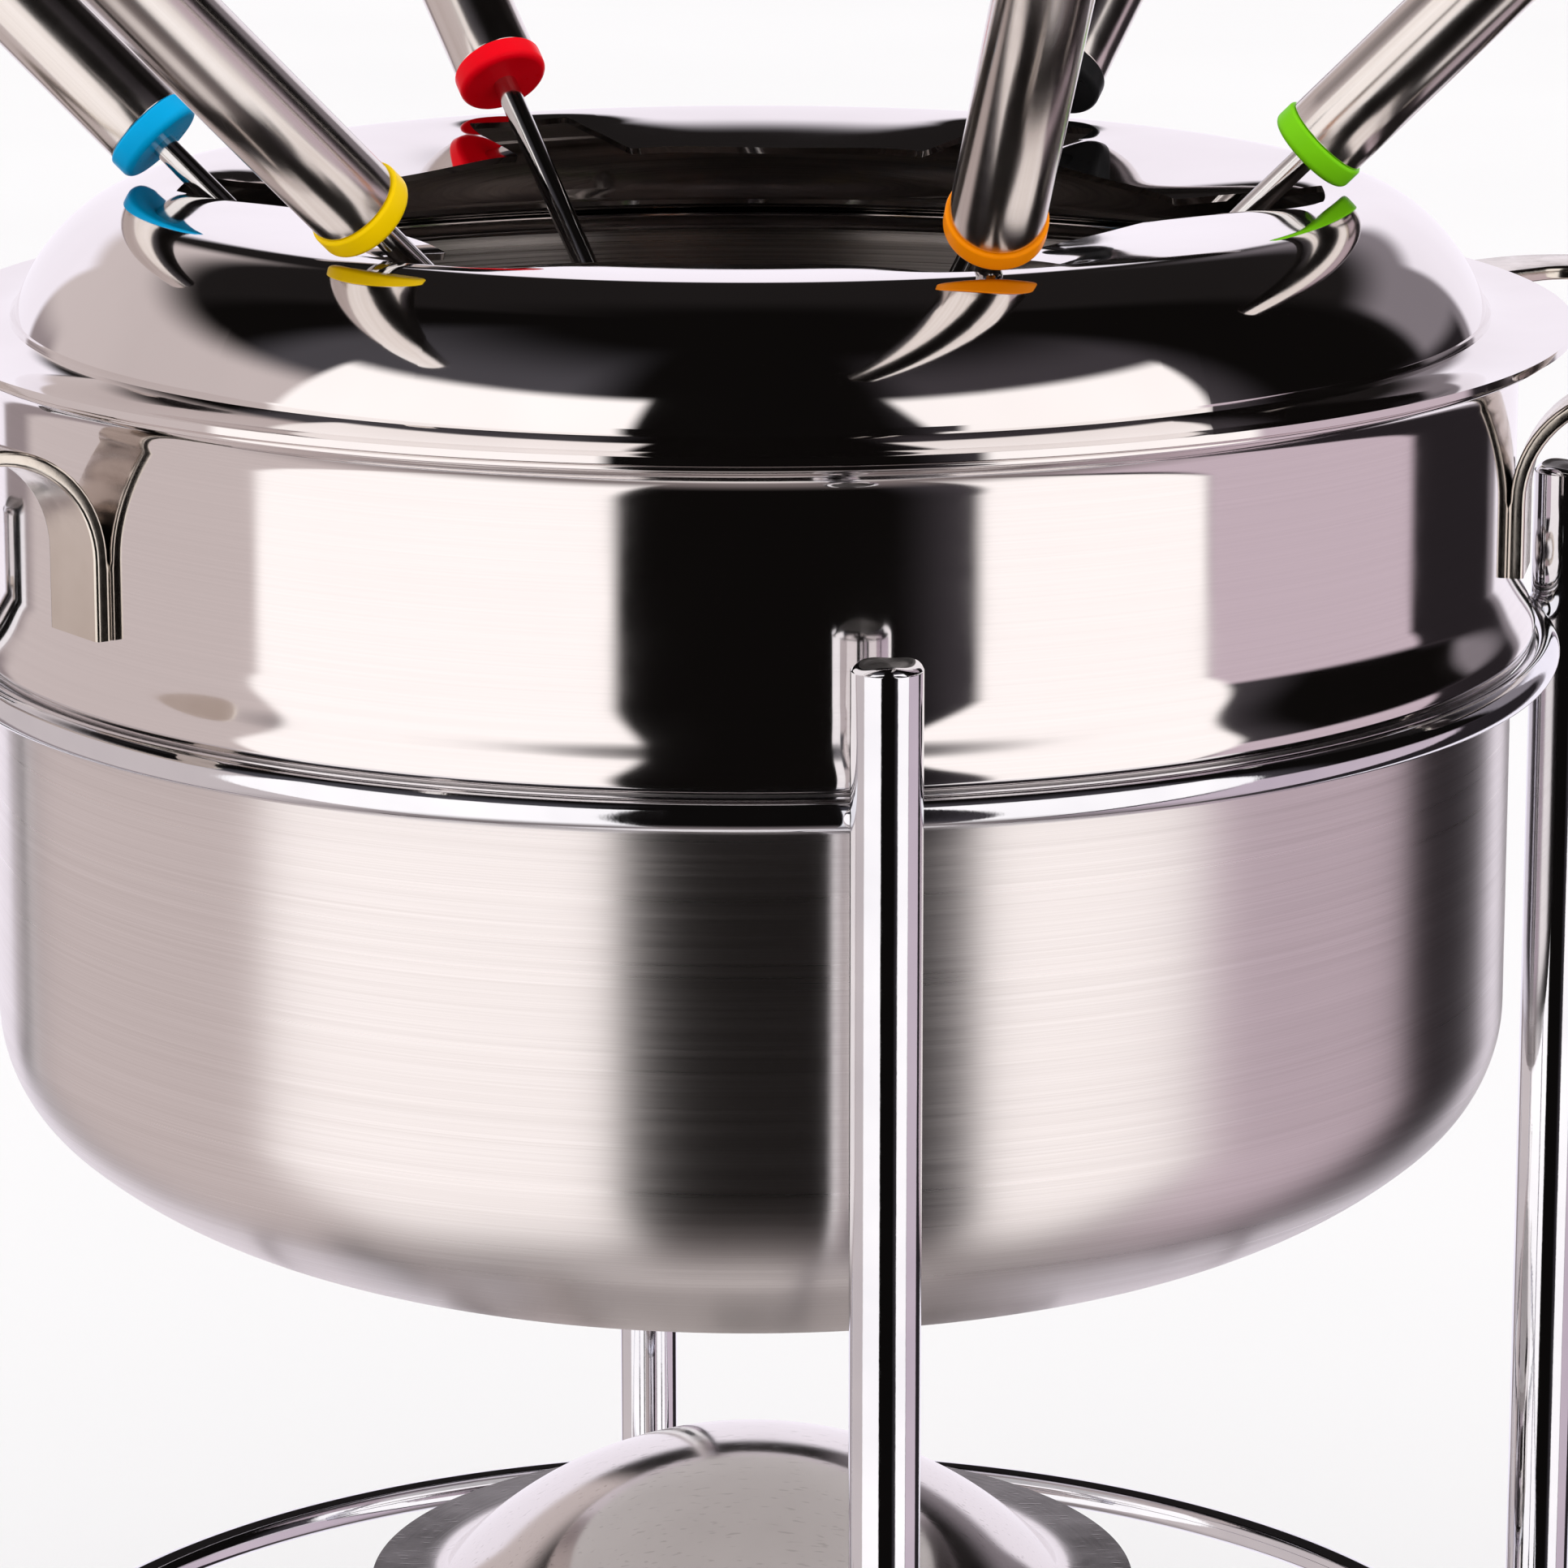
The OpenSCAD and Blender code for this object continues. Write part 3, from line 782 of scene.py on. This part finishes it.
def guard_outer_path():
    """Top face of the guard from its brim to its crest."""
    foot = (CREST_R + GUARD_FOOT_OUT, LIP_Z + GUARD_FOOT_RISE)
    crest = (CREST_R, LIP_Z + CREST_RISE - SHEET)
    brim = curve(
        (BRIM_R, LIP_Z + 0.3 * MM), (BRIM_R - 3.5 * MM, LIP_Z), (foot[0] + 3.4 * MM, foot[1] - 1.7 * MM), foot
    )
    dome = curve(foot, (foot[0] - 1.4 * MM, foot[1] + 6 * MM), (crest[0] + 7 * MM, crest[1]), crest, 48)
    return beside(tidy(brim + dome), -SHEET)


def guard_inner_z(r):
    """Height of the guard's top face at radius r inside the crest."""
    t = (CREST_R - r) / (CREST_R - PETAL_R + 2 * MM)
    return LIP_Z + CREST_RISE - (3.3 * t * t - 1.1 * t * t * t) * MM


def notch_dip(r, off):
    """How far the inner edge is pressed down at a fork place."""
    across = math.radians(off) * r / NOTCH_DIP_REACH
    inward = ease((CREST_R - 1.5 * MM - r) / NOTCH_DIP_REACH)
    return NOTCH_DIP * math.exp(-across * across) * inward


def guard_angles():
    """Angles round the guard with their distance from the nearest fork place, closer on the notches' sides."""
    slope_end = NOTCH_HALF + NOTCH_SLOPE
    stops = [NOTCH_HALF * i / 10 for i in range(10)]
    stops += [NOTCH_HALF + NOTCH_SLOPE * i / 40 for i in range(40)]
    stops += [slope_end + (30 - slope_end) * i / 18 for i in range(19)]
    half = [(-off, off) for off in stops[:0:-1]] + [(off, off) for off in stops[:-1]]
    return [(NOTCH_TURN + math.radians(60 * k + turn), off) for k in range(6) for turn, off in half]


def apply_modifiers(obj):
    graph = bpy.context.evaluated_depsgraph_get()
    mesh = bpy.data.meshes.new_from_object(obj.evaluated_get(graph))
    obj.modifiers.clear()
    obj.data = mesh


def make_guard():
    outer = guard_outer_path()
    inner_steps = 32
    columns = len(outer) + inner_steps
    verts, faces = [], []
    places = guard_angles()
    for a, off in places:
        ca, sa = math.cos(a), math.sin(a)
        for r, z in outer:
            verts.append((r * ca, r * sa, z))
        edge = opening_r(off)
        for i in range(1, inner_steps + 1):
            r = CREST_R + (edge - CREST_R) * i / inner_steps
            verts.append((r * ca, r * sa, guard_inner_z(r) - notch_dip(r, off)))
    for k in range(len(places)):
        nxt = (k + 1) % len(places)
        for i in range(columns - 1):
            a, b = k * columns + i, nxt * columns + i
            faces.append([a, b, b + 1, a + 1])
    guard = mesh_object("fork_guard_pressing", verts, faces, MIRROR, 180)
    sheet = guard.modifiers.new("sheet", "SOLIDIFY")
    sheet.thickness = SHEET
    sheet.offset = -1
    apply_modifiers(guard)
    guard.data.set_sharp_from_angle(angle=math.radians(50))
    finish_piece(guard, "guard", "mirror_steel", "fork_guard")


make_guard()


# ---- Forks ----

HANDLE_L = 92 * MM
HANDLE_R = 5.3 * MM
COLLAR_R = 5.7 * MM
COLLAR_L = 3 * MM
SHAFT_R = 1.5 * MM
SHAFT_L = 158 * MM
HEAD_W = 7.2 * MM
HEAD_L = 38 * MM
TINE_L = 24 * MM
TINE_W = 1.9 * MM
TINE_T = 0.8 * MM
PLUG_L = 9 * MM
CAP_PLUG_L = 4.5 * MM
CAP_EDGE = 2.2 * MM


def fork_place(colour):
    """The matrix that puts a fork, made upright on its collar, where its CAD pieces are."""
    joint = next(j for j in frame["joints"] if j["name"] == f"{colour}_fork_pull")
    z = Vector(joint["axis"]).normalized()
    y = Vector((0, 0, 1)).cross(z).normalized()
    x = y.cross(z)
    start = middle(f"{colour}_fork_handle") - z * (COLLAR_L + HANDLE_L / 2)
    turn = Matrix((x, y, z)).transposed().to_4x4()
    return Matrix.Translation(start) @ turn


def fork_collar_outline():
    plug_r = HANDLE_R - SHEET
    lower_edge, upper_edge = 0.9 * MM, 0.4 * MM
    outline = [(SHAFT_R, 0)] + arc(COLLAR_R - lower_edge, lower_edge, lower_edge, -90, 0, 10)
    outline += arc(COLLAR_R - upper_edge, COLLAR_L - upper_edge, upper_edge, 0, 90, 6)
    return outline + [(plug_r, COLLAR_L), (plug_r, COLLAR_L + PLUG_L), (SHAFT_R, COLLAR_L + PLUG_L)]


def fork_handle_outline():
    top = COLLAR_L + HANDLE_L
    edge = 0.25 * MM
    outline = [(HANDLE_R - SHEET, COLLAR_L)] + arc(HANDLE_R - edge, COLLAR_L + edge, edge, -90, 0, 6)
    outline += [(HANDLE_R, COLLAR_L + edge + (HANDLE_L - 2 * edge) * i / 30) for i in range(1, 30)]
    outline += arc(HANDLE_R - edge, top - edge, edge, 0, 90, 6)
    return outline + [(HANDLE_R - SHEET, top)]


def fork_cap_outline():
    plug_r = HANDLE_R - SHEET
    outline = [(0, -CAP_PLUG_L), (plug_r, -CAP_PLUG_L), (plug_r, 0), (HANDLE_R, 0)]
    outline += arc(HANDLE_R - CAP_EDGE, 0, CAP_EDGE, 0, 80, 12)
    crown = [(HANDLE_R * (1 - t) * 0.6, 2.17 * MM + 0.43 * MM * t) for t in (0.2, 0.6, 1.0)]
    return [(r, z + COLLAR_L + HANDLE_L) for r, z in outline + crown]


def fork_head():
    """The flattened blade and its two pointed tines, as one closed rounded plate joined to the shaft."""
    root = HEAD_L - SHAFT_L
    crotch = TINE_L - SHAFT_L
    half = HEAD_W / 2
    verts, faces = [], []

    def ring(cy, z, wy, wx):
        first = len(verts)
        sides = 16
        for k in range(sides):
            a = 2 * math.pi * k / sides
            verts.append((wx * math.sin(a), cy + wy * math.cos(a), z))
        return list(range(first, first + sides))

    def skin(rows):
        for low, high in zip(rows, rows[1:]):
            n = len(low)
            for k in range(n):
                faces.append([low[k], low[(k + 1) % n], high[(k + 1) % n], high[k]])
        faces.append(rows[0][::-1])
        faces.append(rows[-1])

    blade = []
    for i in range(13):
        t = i / 12
        wide = SHAFT_R + (half - SHAFT_R) * ease(1 - t)
        flat = TINE_T + (SHAFT_R - TINE_T) * ease(t)
        blade.append(ring(0, crotch - 1 * MM + (root + 3 * MM - crotch) * t, wide, flat))
    skin(blade)
    for side in (-1, 1):
        rows = []
        for i in range(17):
            t = i / 16
            taper = min(1, 0.12 + 2.2 * t)
            cy = side * (half - TINE_W / 2)
            rows.append(ring(cy, -SHAFT_L + (crotch + 1 * MM + SHAFT_L) * t, TINE_W / 2 * taper, TINE_T * taper))
        skin(rows)
    return verts, faces


def fork_prongs(colour):
    verts, faces = fork_head()
    first = len(verts)
    sides = 32
    low, high = HEAD_L - 2 * MM - SHAFT_L, COLLAR_L + PLUG_L - 0.1 * MM
    steps = 20
    for i in range(steps + 1):
        z = low + (high - low) * i / steps
        for k in range(sides):
            a = 2 * math.pi * k / sides
            verts.append((SHAFT_R * math.sin(a), SHAFT_R * math.cos(a), z))
    for i in range(steps):
        for k in range(sides):
            a, b = first + i * sides + k, first + i * sides + (k + 1) % sides
            faces.append([a, b, b + sides, a + sides])
    faces.append([first + k for k in range(sides)][::-1])
    faces.append([len(verts) - sides + k for k in range(sides)])
    return mesh_object(f"{colour}_prongs", verts, faces, PRONG, 50)


def make_fork(colour):
    place = fork_place(colour)
    made = (
        (lathe(f"{colour}_tube", fork_handle_outline(), TUBE, 96), "satin_tube", "handle"),
        (lathe(f"{colour}_collar", fork_collar_outline(), PLASTICS[colour], 96), f"{colour}_plastic", "collar"),
        (lathe(f"{colour}_end_cap", fork_cap_outline(), TUBE, 96), "satin_tube", "cap"),
        (fork_prongs(colour), "fork_steel", "prongs"),
    )
    for piece, slot, node in made:
        piece.matrix_world = place
        finish_piece(piece, f"{colour}_fork", slot, f"{colour}_fork_{node}")


for colour in COLOURS:
    make_fork(colour)


# ---- Burner ----

COVER_R = 37.6 * MM
CUP_R = 40.4 * MM
FLAME_R = 20 * MM


def make_dome():
    foot_r = COVER_R + 0.6 * MM
    rise = DOME_TOP_Z - SHEET - DOME_Z
    dome_r = (foot_r * foot_r + rise * rise) / (2 * rise)
    foot_a = math.degrees(math.asin(foot_r / dome_r))
    path = [(DOME_FLANGE_R, DOME_Z), (foot_r + 4 * MM, DOME_Z)]
    path += curve(
        (foot_r + 4 * MM, DOME_Z), (foot_r + 1.6 * MM, DOME_Z),
        (foot_r + 0.8 * MM, DOME_Z), (foot_r, DOME_Z + 0.4 * MM), 8
    )
    dome = arc(0, DOME_Z + rise - dome_r, dome_r, 90 - foot_a, 90, 48)
    dome = [p for p in dome if p[1] > DOME_Z + 0.6 * MM]
    dome[-1] = (0, dome[-1][1])
    outline = path + dome
    upper = beside(tidy(outline), -SHEET)
    upper[-1] = (0, upper[-1][1])
    closed = tidy(outline) + upper[::-1]
    piece = lathe("snuffer_dome_shell", closed, BURNER, 256)
    finish_piece(piece, "snuffer", "burner_steel", "snuffer_dome")


def turned_piece(name, path, *nodes):
    """A pressed sheet part of the burner from the path of its outer face."""
    finish_piece(lathe(name, sheet_outline(path), BURNER, 192), "burner", "burner_steel", *nodes)


def softened(node, name, body, slot, material, width):
    """The CAD piece as a mesh of its own with its edges rounded off."""
    cad = frame["nodes"][node]
    mesh = bmesh.new()
    mesh.from_mesh(cad.data)
    mesh.transform(cad.matrix_world)
    bmesh.ops.remove_doubles(mesh, verts=mesh.verts, dist=1e-6)
    bmesh.ops.dissolve_limit(mesh, angle_limit=math.radians(1), verts=mesh.verts, edges=mesh.edges)
    edges = [e for e in mesh.edges if len(e.link_faces) == 2 and e.calc_face_angle() > math.radians(35)]
    bmesh.ops.bevel(
        mesh, geom=edges, offset=width, segments=3, profile=0.5, affect="EDGES", clamp_overlap=True
    )
    bmesh.ops.triangulate(mesh, faces=[f for f in mesh.faces if len(f.verts) > 4])
    data = bpy.data.meshes.new(name)
    mesh.to_mesh(data)
    mesh.free()
    data.materials.append(material)
    data.polygons.foreach_set("use_smooth", [True] * len(data.polygons))
    data.set_sharp_from_angle(angle=math.radians(32))
    piece = bpy.data.objects.new(name, data)
    bpy.context.scene.collection.objects.link(piece)
    finish_piece(piece, body, slot, node)


def make_burner():
    corner = 7 * MM
    bend = 1.0 * MM
    cup = [(0, CUP_BASE_Z)] + arc(CUP_R - corner, CUP_BASE_Z + corner, corner, -90, 0)
    cup += curve(
        (CUP_R, CUP_TOP_Z - SHEET - bend), (CUP_R, CUP_TOP_Z - SHEET - bend / 2),
        (CUP_R + bend / 2, CUP_TOP_Z - SHEET), (CUP_R + bend, CUP_TOP_Z - SHEET), 8
    )
    turned_piece("burner_cup_pressing", cup + [(CUP_FLANGE_R, CUP_TOP_Z - SHEET)], "burner_cup")
    # The cover's bends stay clear of the regulator, which turns between its two brims
    band_low, band_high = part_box("regulator_ring")
    bend = 0.8 * min(band_low.z - COVER_Z - SHEET, COVER_TOP_Z - SHEET - band_high.z)
    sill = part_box("cover_base")[1].z
    base = [(COVER_BRIM_R, COVER_Z + SHEET), (COVER_R + bend, COVER_Z + SHEET)]
    base += arc(COVER_R + bend, COVER_Z + SHEET + bend, bend, -90, -180, 6) + [(COVER_R, sill)]
    turned_piece("cover_base_pressing", base, "cover_base")
    top = [(COVER_R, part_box("cover_top")[0].z), (COVER_R, COVER_TOP_Z - SHEET - bend)]
    top += arc(COVER_R + bend, COVER_TOP_Z - SHEET - bend, bend, 180, 90, 6)
    top += [(COVER_BRIM_R, COVER_TOP_Z - SHEET)]
    turned_piece("cover_top_wall", top, "cover_top")
    turned_piece("cover_top_plate", [(FLAME_R, COVER_TOP_Z - SHEET), (COVER_R, COVER_TOP_Z - SHEET)])


def make_wool():
    """The fuel pad: loose fibre with a lumpy top."""
    low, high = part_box("fuel_pad")
    r, corner = radius("fuel_pad"), 6 * MM
    outline = [(0, low.z)] + arc(r - corner, low.z + corner, corner, -90, 0, 12)
    outline += arc(r - 2 * MM, high.z - 2 * MM, 2 * MM, 0, 90, 8)
    outline += [(r * k / 24, high.z) for k in range(22, -1, -1)]
    pad = lathe("fuel_pad_wool", outline, WOOL, 96)
    for v in pad.data.vertices:
        if v.co.z > high.z - 1.5 * MM:
            v.co.z -= 0.7 * MM * (1 + noise.noise(v.co * 220))
    finish_piece(pad, "burner", "fuel_wool", "fuel_pad")


def make_gauze():
    """A disc of woven wire."""
    low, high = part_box("gauze_disc")
    disc_r, wire = radius("gauze_disc"), 0.14 * MM
    z, pitch = (low.z + high.z) / 2, 2.4 * MM
    count = int(disc_r / pitch)
    verts, faces = [], []
    for lay in (0, 1):
        for line in range(-count, count + 1):
            fixed = line * pitch
            half = math.sqrt(max(disc_r ** 2 - fixed ** 2, 0)) - 0.2 * MM
            if half < pitch:
                continue
            steps = max(4, int(half / (pitch / 4)) * 2)
            first = len(verts)
            for i in range(steps + 1):
                along = -half + 2 * half * i / steps
                phase = math.pi * (along / pitch + line + lay)
                weave = z + wire * math.cos(phase)
                for k in range(6):
                    a = math.pi * k / 3
                    out, up = fixed + wire * math.cos(a), weave + wire * math.sin(a)
                    verts.append((along, out, up) if lay == 0 else (out, along, up))
            for i in range(steps):
                for k in range(6):
                    a, b = first + 6 * i + k, first + 6 * i + (k + 1) % 6
                    faces.append([a, b, b + 6, a + 6])
    finish_piece(mesh_object("gauze_weave", verts, faces, GAUZE, 80), "burner", "gauze_wire", "gauze_disc")


make_dome()
make_burner()
make_wool()
make_gauze()
for node, name, body, slot, material, width in (
    ("cover_posts", "cover_post_strips", "burner", "burner_steel", BURNER, 0.2),
    ("regulator_ring", "regulator_band", "regulator", "burner_steel", BURNER, 0.2),
    ("regulator_handle", "regulator_lever", "regulator", "burner_steel", BURNER, 0.4),
    ("regulator_rivets", "regulator_rivet_heads", "regulator", "rivet_steel", RIVET, 0.3),
    ("snuffer_handle", "snuffer_lever", "snuffer", "burner_steel", BURNER, 0.4),
    ("snuffer_rivets", "snuffer_rivet_heads", "snuffer", "rivet_steel", RIVET, 0.3),
):
    softened(node, name, body, slot, material, width * MM)


# ---- Studio ----


def make_floor():
    bpy.ops.mesh.primitive_plane_add(size=16, location=(0, 0, 0))
    floor = bpy.context.object
    floor.name = "floor"
    s = Shader("pale_floor", (0.9, 0.9, 0.9), 0.0, 0.8)
    coords, _ = s.object_xyz()
    s.tint(s.noise(coords, 3, 2), (0.89, 0.89, 0.89), (0.91, 0.91, 0.91))
    floor.data.materials.append(s.material)
    floor.visible_glossy = False


# Parts of the studio that polished steel mirrors: the azimuth of the middle (0 towards the camera, 90 towards
# +X), the half width, the widening with height, the highest elevation, the soft edge (all in degrees), the colour
STUDIO = (
    ("haze left", -62, 34, 0, 60, 14, (0.075, 0.070, 0.080)),
    ("haze right", 55, 28, 0, 58, 12, (0.055, 0.048, 0.055)),
    ("haze behind", 180, 55, 0, 70, 10, (0.014, 0.012, 0.012)),
    ("left wall", -117, 46, 0, 32, 5, (0.66, 0.575, 0.57)),
    ("right screen", 98, 28, 0, 3, 3, (0.65, 0.53, 0.60)),
    ("right corner", 148, 22, 0, 26, 5, (0.25, 0.22, 0.245)),
    ("dark strip", 129, 14.5, 0, 6, 3, (0.022, 0.018, 0.021)),
    ("left corner", -152, 17, 0, 6, 5, (0.33, 0.275, 0.285)),
    ("back wall", 180, 33, 0, 18, 2.5, (1.02, 0.96, 1.05)),
    ("left softbox", -48.2, 28.9, 0.03, 42, 2.5, (1.26, 1.20, 1.19)),
    ("right softbox", 51.5, 20.5, 0.17, 41, 2.5, (1.25, 1.19, 1.18)),
)
ROOM_DARK = (0.0045, 0.0038, 0.0036)
TABLE_GLOW_TOP = -58.0
TABLE_GLOW = (0.22, 0.185, 0.185)
TABLE_WHITE_TOP = -76.0
TABLE_WHITE = (0.95, 0.88, 0.87)
DIFFUSE_LIGHT = (1.17, 1.16, 1.17)


def make_world():
    """A white studio: even light on matt things, and softboxes, screens and a dark gap for steel to mirror."""
    world = bpy.data.worlds.new("studio")
    bpy.context.scene.world = world
    world.use_nodes = True
    tree = world.node_tree
    tree.nodes.clear()

    def feed(socket, value):
        if hasattr(value, "links"):
            tree.links.new(value, socket)
        else:
            socket.default_value = value

    def calc(operation, *values):
        n = tree.nodes.new("ShaderNodeMath")
        n.operation = operation
        for socket, value in zip(n.inputs, values):
            feed(socket, value)
        return n.outputs[0]

    def mix(fac, a, b):
        n = tree.nodes.new("ShaderNodeMix")
        n.data_type = "RGBA"
        for socket, value in ((n.inputs[0], fac), (n.inputs[6], a), (n.inputs[7], b)):
            feed(socket, value)
        return n.outputs[2]

    def inside(value, soft):
        """1 where value is over 0, 0 below, with a soft edge."""
        n = tree.nodes.new("ShaderNodeMapRange")
        n.interpolation_type = "SMOOTHSTEP"
        feed(n.inputs["Value"], value)
        n.inputs["From Min"].default_value = -soft
        n.inputs["From Max"].default_value = soft
        return n.outputs[0]

    split = tree.nodes.new("ShaderNodeSeparateXYZ")
    tree.links.new(tree.nodes.new("ShaderNodeTexCoord").outputs["Generated"], split.inputs[0])
    x, y, z = split.outputs
    azimuth = calc("DEGREES", calc("ARCTAN2", x, calc("MULTIPLY", y, -1.0)))
    height = calc("DEGREES", calc("ARCSINE", z))
    room = (*ROOM_DARK, 1)
    for _, centre, half, widening, top, soft, colour in STUDIO:
        off = calc("ABSOLUTE", calc("WRAP", calc("SUBTRACT", azimuth, centre), 180.0, -180.0))
        reach = calc("MULTIPLY_ADD", height, widening, half)
        wide = inside(calc("SUBTRACT", reach, off), soft * 0.6)
        tall = inside(calc("SUBTRACT", top, height), soft)
        room = mix(calc("MULTIPLY", wide, tall), room, (*colour, 1))
    room = mix(inside(calc("SUBTRACT", TABLE_GLOW_TOP, height), 14), room, (*TABLE_GLOW, 1))
    room = mix(inside(calc("SUBTRACT", TABLE_WHITE_TOP, height), 5), room, (*TABLE_WHITE, 1))
    paths = tree.nodes.new("ShaderNodeLightPath")
    lit = mix(paths.outputs["Is Diffuse Ray"], room, (*DIFFUSE_LIGHT, 1))
    seen = mix(paths.outputs["Is Camera Ray"], lit, (1, 1, 1, 1))
    background = tree.nodes.new("ShaderNodeBackground")
    feed(background.inputs["Color"], seen)
    out = tree.nodes.new("ShaderNodeOutputWorld")
    tree.links.new(background.outputs[0], out.inputs["Surface"])


CAMERA_DISTANCE = 0.800
CAMERA_RISE = math.radians(12.0)
CAMERA_YAW = math.radians(0.288)
CAMERA_PITCH = math.radians(13.305)
LENS = 153.4286
SENSOR = 36


def make_camera():
    """The camera stands in front of the upper ring and looks a little below and right of its middle."""
    data = bpy.data.cameras.new("camera")
    data.lens = LENS
    data.sensor_width = SENSOR
    camera = bpy.data.objects.new("camera", data)
    bpy.context.scene.collection.objects.link(camera)
    camera.location = (
        0,
        -CAMERA_DISTANCE * math.cos(CAMERA_RISE),
        UPPER_RING_Z + CAMERA_DISTANCE * math.sin(CAMERA_RISE),
    )
    camera.rotation_euler = (math.pi / 2 - CAMERA_PITCH, 0, -CAMERA_YAW)
    bpy.context.scene.camera = camera


make_floor()
make_world()
make_camera()
bpy.context.scene.view_settings.view_transform = "Standard"
